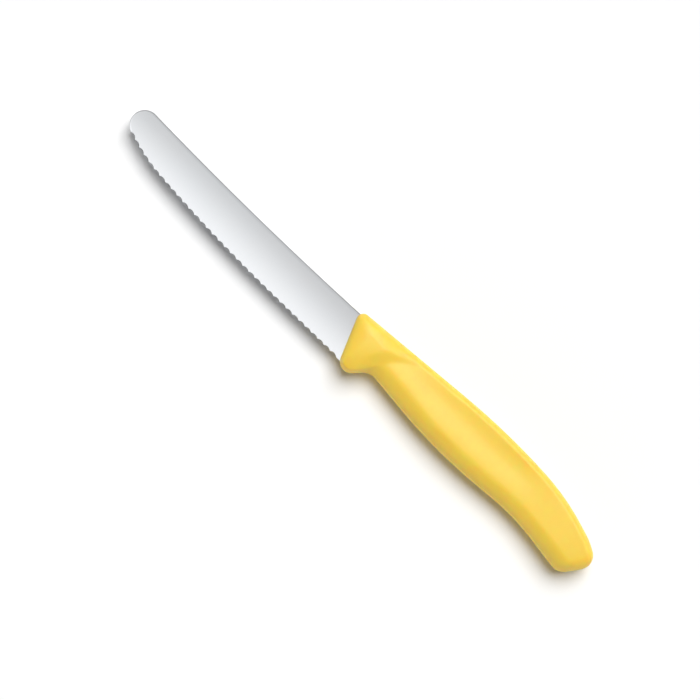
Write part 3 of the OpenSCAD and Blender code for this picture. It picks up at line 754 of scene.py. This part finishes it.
class Tree:
    """A shader tree under construction."""

    def __init__(self, owner):
        owner.use_nodes = True
        self.nodes, self.links = owner.node_tree.nodes, owner.node_tree.links
        self.nodes.clear()

    def node(self, kind, settings=None, **sockets):
        """A new node. Its sockets take values or other sockets.

        A socket is named as in Blender with _ for a space, or by n and its number.
        """
        made = self.nodes.new(kind)
        for key, value in (settings or {}).items():
            setattr(made, key, value)
        for key, value in sockets.items():
            numbered = key[0] == "n" and key[1:].isdigit()
            socket = made.inputs[int(key[1:]) if numbered else key.replace("_", " ")]
            if isinstance(value, bpy.types.NodeSocket):
                self.links.new(value, socket)
            else:
                socket.default_value = value
        return made

    def noise(self, size, detail=2.0, roughness=0.5):
        """Noise from 0 to 1 in object coordinates, with a feature size for each axis."""
        place = self.node("ShaderNodeTexCoord").outputs["Object"]
        scale = [1 / v for v in size]
        scaled = self.node("ShaderNodeVectorMath", {"operation": "MULTIPLY"}, n0=place, n1=scale)
        made = self.node(
            "ShaderNodeTexNoise", Vector=scaled.outputs[0], Scale=1.0, Detail=detail, Roughness=roughness
        )
        return made.outputs["Fac"]

    def ramp(self, value, start, end, first, last):
        """A number that goes from first to last as a socket's value goes from start to end."""
        made = self.node("ShaderNodeMapRange", n0=value, n1=start, n2=end, n3=first, n4=last)
        return made.outputs["Result"]

    def between(self, share_socket, low, high):
        """A number that goes from low to high as a noise goes over its usual range."""
        return self.ramp(share_socket, NOISE_LOW, NOISE_HIGH, low, high)

    def tint(self, share_socket, first, second):
        """A colour that goes from first to second with a share. Each is a colour or a socket."""
        first, second = [v if isinstance(v, bpy.types.NodeSocket) else (*v, 1) for v in (first, second)]
        made = self.node("ShaderNodeMix", {"data_type": "RGBA"}, n0=share_socket, n6=first, n7=second)
        return made.outputs[2]

    def number(self, operation, *inputs):
        """The result of a sum on numbers or sockets."""
        sockets = {f"n{i}": value for i, value in enumerate(inputs)}
        return self.node("ShaderNodeMath", {"operation": operation}, **sockets).outputs[0]

    def seen(self):
        """1 for rays that show the background: from the camera, or through glass."""
        path = self.node("ShaderNodeLightPath").outputs
        return self.number("MAXIMUM", path["Is Camera Ray"], path["Is Transmission Ray"])


def steel_material(finish):
    """Satin steel with a rim darkened as painted shade.

    Its grinding lines run from spine to edge and stretch reflections.
    """
    material = bpy.data.materials.new("satin_steel")
    tree = Tree(material)
    lines = tree.noise([finish.line_gap, finish.line_len, finish.line_len], detail=3, roughness=0.6)
    clouds = tree.noise(STEEL_CLOUDS)
    along = tree.node("ShaderNodeCombineXYZ", X=1.0)
    bump = tree.node("ShaderNodeBump", Strength=1.0, Distance=finish.line_depth, Height=lines)
    # painted shade: the rim's share darkens the steel round spine and tip
    rim = tree.node("ShaderNodeAttribute", {"attribute_name": "rim"}).outputs["Fac"]
    rough, streak = finish.steel_rough, finish.steel_streak
    shader = tree.node(
        "ShaderNodeBsdfPrincipled",
        Base_Color=tree.tint(rim, tree.tint(clouds, finish.steel, finish.steel_cool), finish.steel_rim_painted_shade),
        Metallic=1.0,
        Roughness=tree.between(lines, rough * (1 - streak), rough * (1 + streak)),
        Anisotropic=finish.stretch,
        Tangent=along.outputs[0],
        Normal=bump.outputs[0],
    )
    tree.node("ShaderNodeOutputMaterial", Surface=shader.outputs[0])
    return material


def plastic_material(finish):
    """Matt moulded plastic with a fine grain, which lets a little light in."""
    material = bpy.data.materials.new("moulded_plastic")
    tree = Tree(material)
    grain = tree.noise([finish.grain] * 3, detail=3, roughness=0.6)
    clouds = tree.noise(PLASTIC_CLOUDS)
    bump = tree.node("ShaderNodeBump", Strength=1.0, Distance=finish.grain_depth, Height=grain)
    rough = finish.plastic_rough
    shader = tree.node(
        "ShaderNodeBsdfPrincipled",
        Base_Color=tree.tint(clouds, finish.plastic, finish.plastic_deep),
        Roughness=tree.between(grain, rough * (1 - GRAIN_ROUGH), rough * (1 + GRAIN_ROUGH)),
        Subsurface_Weight=finish.glow,
        Subsurface_Radius=GLOW_SHARES,
        Subsurface_Scale=finish.glow_depth,
        Normal=bump.outputs[0],
    )
    tree.node("ShaderNodeOutputMaterial", Surface=shader.outputs[0])
    return material


def floor_material(finish):
    """Pale floor that takes the shadow and is lifted to the background's white where it is seen."""
    material = bpy.data.materials.new("pale_floor")
    tree = Tree(material)
    matt = tree.node("ShaderNodeBsdfDiffuse", Color=(*finish.floor, 1))
    glow = tree.node("ShaderNodeEmission", Strength=tree.number("MULTIPLY", tree.seen(), finish.floor_lift))
    both = tree.node("ShaderNodeAddShader", n0=matt.outputs[0], n1=glow.outputs[0])
    tree.node("ShaderNodeOutputMaterial", Surface=both.outputs[0])
    return material


def studio_world(stage):
    """A soft white room: plain for the light it gives, white where it is seen, shaded where it is reflected.

    Its light is the room's level plus the walls', which grows with a power of the share down from overhead
    and in a straight line from the side of the spine to the side of the edge. What is reflected is a white
    ceiling that ends overhead, the lesser of two straight ramps along its axis: from far out on the side of
    the edge it rises to its lightest, and then it falls to the dark side.
    """
    world = bpy.data.worlds.new("studio")
    tree = Tree(world)
    way = tree.node("ShaderNodeTexCoord").outputs["Generated"]
    parts = tree.node("ShaderNodeSeparateXYZ", Vector=way).outputs
    down = tree.number("SUBTRACT", 1.0, tree.number("ABSOLUTE", parts["Z"]))
    turned = tree.number("SUBTRACT", 1.0, tree.number("MULTIPLY", parts["Y"], stage.walls_turn))
    walls = tree.number("MULTIPLY", tree.number("POWER", down, stage.walls_power), turned)
    given = tree.number("MULTIPLY_ADD", walls, stage.walls, stage.room)
    dot = tree.node("ShaderNodeVectorMath", {"operation": "DOT_PRODUCT"}, n0=way, n1=stage.ceiling_axis)
    side, light = dot.outputs["Value"], stage.ceiling_light
    near = tree.ramp(side, stage.ceiling_start, stage.ceiling_end, light, stage.ceiling_dark)
    far = tree.ramp(side, stage.ceiling_reach, stage.ceiling_full, stage.ceiling_far, light)
    glossy = tree.node("ShaderNodeLightPath").outputs["Is Glossy Ray"]
    reflected = tree.node("ShaderNodeMix", Factor=glossy, n2=given, n3=tree.number("MINIMUM", near, far))
    strength = tree.node("ShaderNodeMix", Factor=tree.seen(), n2=reflected.outputs[0], n3=1.0)
    background = tree.node("ShaderNodeBackground", Color=(1, 1, 1, 1), Strength=strength.outputs[0])
    tree.node("ShaderNodeOutputWorld", Surface=background.outputs[0])
    return world


def add_sun(name, towards, strength, spread, without):
    """A lamp at infinity that shines along the vector towards, as wide as the angle spread.

    The pieces in the list without don't take its light: the steel mirrors the room and not the lamp.
    """
    lamp = bpy.data.lights.new(name, "SUN")
    lamp.energy = strength
    lamp.angle = spread
    holder = bpy.data.objects.new(name, lamp)
    holder.rotation_euler = Vector(towards).to_track_quat("-Z", "Y").to_euler()
    bpy.context.scene.collection.objects.link(holder)
    left_out = bpy.data.collections.new(name + "_without")
    for piece in without:
        left_out.objects.link(piece)
    for entry in left_out.collection_objects:
        entry.light_linking.link_state = "EXCLUDE"
    holder.light_linking.receiver_collection = left_out
    return holder


class KnifeStage(bpy.types.Operator):
    """Set the floor, the key lamp, the world and the camera, which looks straight down as in the photograph.

    A sun of strength pi that faces a white floor lights it to 1, and a lean lowers that by its cosine.
    """

    bl_idname = "knife.stage"
    bl_label = "Stage"

    def execute(self, context):
        scene, stage = context.scene, context.scene.knife_stage
        half = stage.floor_half
        mesh = bpy.data.meshes.new("floor")
        corners = [(-half, -half, 0), (half, -half, 0), (half, half, 0), (-half, half, 0)]
        mesh.from_pydata(corners, [], [(0, 1, 2, 3)])
        mesh.materials.append(floor_material(scene.knife_finish))
        floor = bpy.data.objects.new("floor", mesh)
        scene.collection.objects.link(floor)
        across, turn = math.sin(stage.key_tilt), stage.key_turn
        towards = (across * math.sin(turn), -across * math.cos(turn), -math.cos(stage.key_tilt))
        strength = stage.key * math.pi / math.cos(stage.key_tilt)
        add_sun("key", towards, strength, stage.key_spread, [bpy.data.objects["blade_ground"]])
        scene.world = studio_world(stage)
        camera = bpy.data.cameras.new("camera")
        camera.lens = stage.lens
        holder = bpy.data.objects.new("camera", camera)
        scene.collection.objects.link(holder)
        height = stage.lens / camera.sensor_width * stage.seen_width
        holder.location = Vector(datum()) + Vector((stage.middle_x, stage.middle_y, height))
        holder.rotation_euler = (0, 0, stage.turn)
        scene.camera = holder
        scene.view_settings.view_transform = "Standard"
        return {"FINISHED"}


class KNIFE_PT_panel(bpy.types.Panel):
    """Sizes, colours and steps of the knife."""

    bl_label = "Tomato knife"
    bl_idname = "KNIFE_PT_panel"
    bl_space_type = "VIEW_3D"
    bl_region_type = "UI"
    bl_category = "Knife"

    def draw(self, context):
        for step in STEPS:
            self.layout.operator(step.bl_idname)
        for group in GROUPS:
            sizes = getattr(context.scene, group)
            column = self.layout.column(align=True)
            for name in sizes.__annotations__:
                column.prop(sizes, name)


GROUPS = {
    "knife_blade": KnifeBladeSizes,
    "knife_handle": KnifeHandleSizes,
    "knife_finish": KnifeFinish,
    "knife_stage": KnifeStageSettings,
}
STEPS = (KnifeBlade, KnifeHandle, KnifeStage)
CLASSES = (*GROUPS.values(), *STEPS, KNIFE_PT_panel)


def register():
    for kind in CLASSES:
        bpy.utils.register_class(kind)
    for name, kind in GROUPS.items():
        setattr(bpy.types.Scene, name, PointerProperty(type=kind))


def unregister():
    for name in GROUPS:
        delattr(bpy.types.Scene, name)
    for kind in reversed(CLASSES):
        bpy.utils.unregister_class(kind)


def main():
    """Registers the add-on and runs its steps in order."""
    register()
    bpy.ops.knife.blade()
    bpy.ops.knife.handle()
    bpy.ops.knife.stage()


if __name__ == "__main__":
    main()
